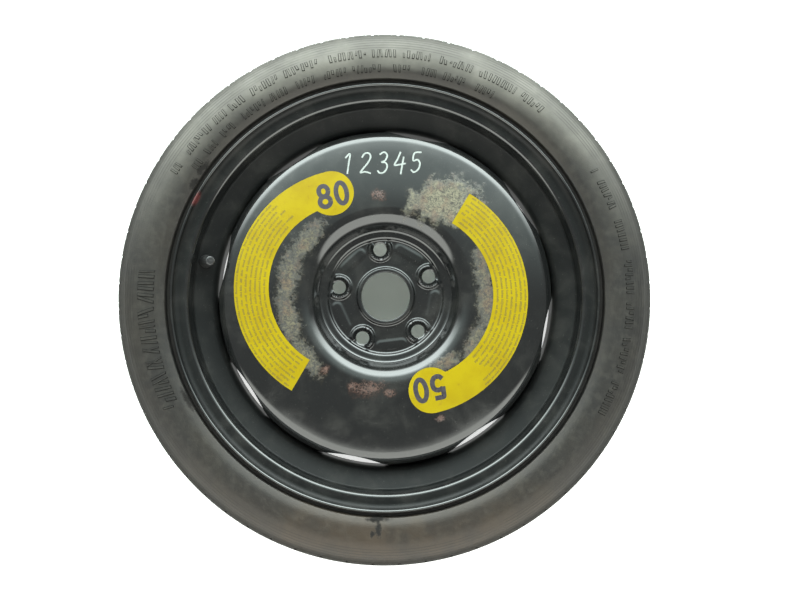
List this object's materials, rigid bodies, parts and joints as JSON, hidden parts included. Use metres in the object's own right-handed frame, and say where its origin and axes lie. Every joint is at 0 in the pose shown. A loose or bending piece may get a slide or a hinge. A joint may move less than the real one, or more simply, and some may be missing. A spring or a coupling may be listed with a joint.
{
  "type": "spare wheel",
  "caption": "Narrow temporary spare wheel: pressed steel disc in a rolled steel rim with windows at its edge, low tyre, snap-in valve and two curved yellow labels.",
  "frame": {"origin": "centre of the bolt circle at the hub mounting face, which is the disc's back face", "axes": "+Z along the wheel's axis, out of the car, so the wheel lies on its inner sidewall with its outer face up; -X points at the valve"},
  "size_m": [0.632, 0.632, 0.1242],
  "materials": {
    "tyre_rubber": "matt vulcanised rubber, dusty",
    "black_steel": "gloss black cathodic coating on pressed steel",
    "yellow_film": "satin printed vinyl film",
    "valve_rubber": "matt moulded rubber",
    "brass": "turned brass",
    "pin_steel": "drawn steel wire",
    "cap_plastic": "moulded nylon"
  },
  "bodies": {
    "wheel": {"tyre": "tyre_rubber", "rim": "black_steel", "wheel_disc": "black_steel", "weld_seams": "black_steel", "speed_label_left": "yellow_film", "speed_label_right": "yellow_film", "valve_body": "valve_rubber", "valve_stem": "brass", "valve_core_body": "brass", "valve_core_seal": "valve_rubber", "valve_core_spring": "pin_steel"},
    "core_pin": {"valve_core_pin": "pin_steel"},
    "cap_seal": {"valve_cap_seal": "valve_rubber"},
    "cap": {"valve_cap": "cap_plastic"}
  },
  "joints": [
    {"name": "core_pin_slide", "type": "slide", "parent": "wheel", "child": "core_pin", "axis": [0.342, 0, 0.9397], "range_m": [-0.0012, 0], "stiffness_N_per_m": 800, "springref_m": 0.001, "deforming": ["valve_core_spring"]},
    {"name": "cap_lift", "type": "slide", "parent": "wheel", "child": "cap_seal", "axis": [0.342, 0, 0.9397], "range_m": [0, 0.00476]},
    {"name": "cap_turn", "type": "hinge", "parent": "cap_seal", "child": "cap", "pos_m": [-0.2186, 0, -0.0053], "axis": [0.342, 0, 0.9397], "range_deg": [0, 2160.2]}
  ],
  "couplings": [
    {"joint": "cap_turn", "follows": "cap_lift", "rad_per_m": 7915.8}
  ]
}
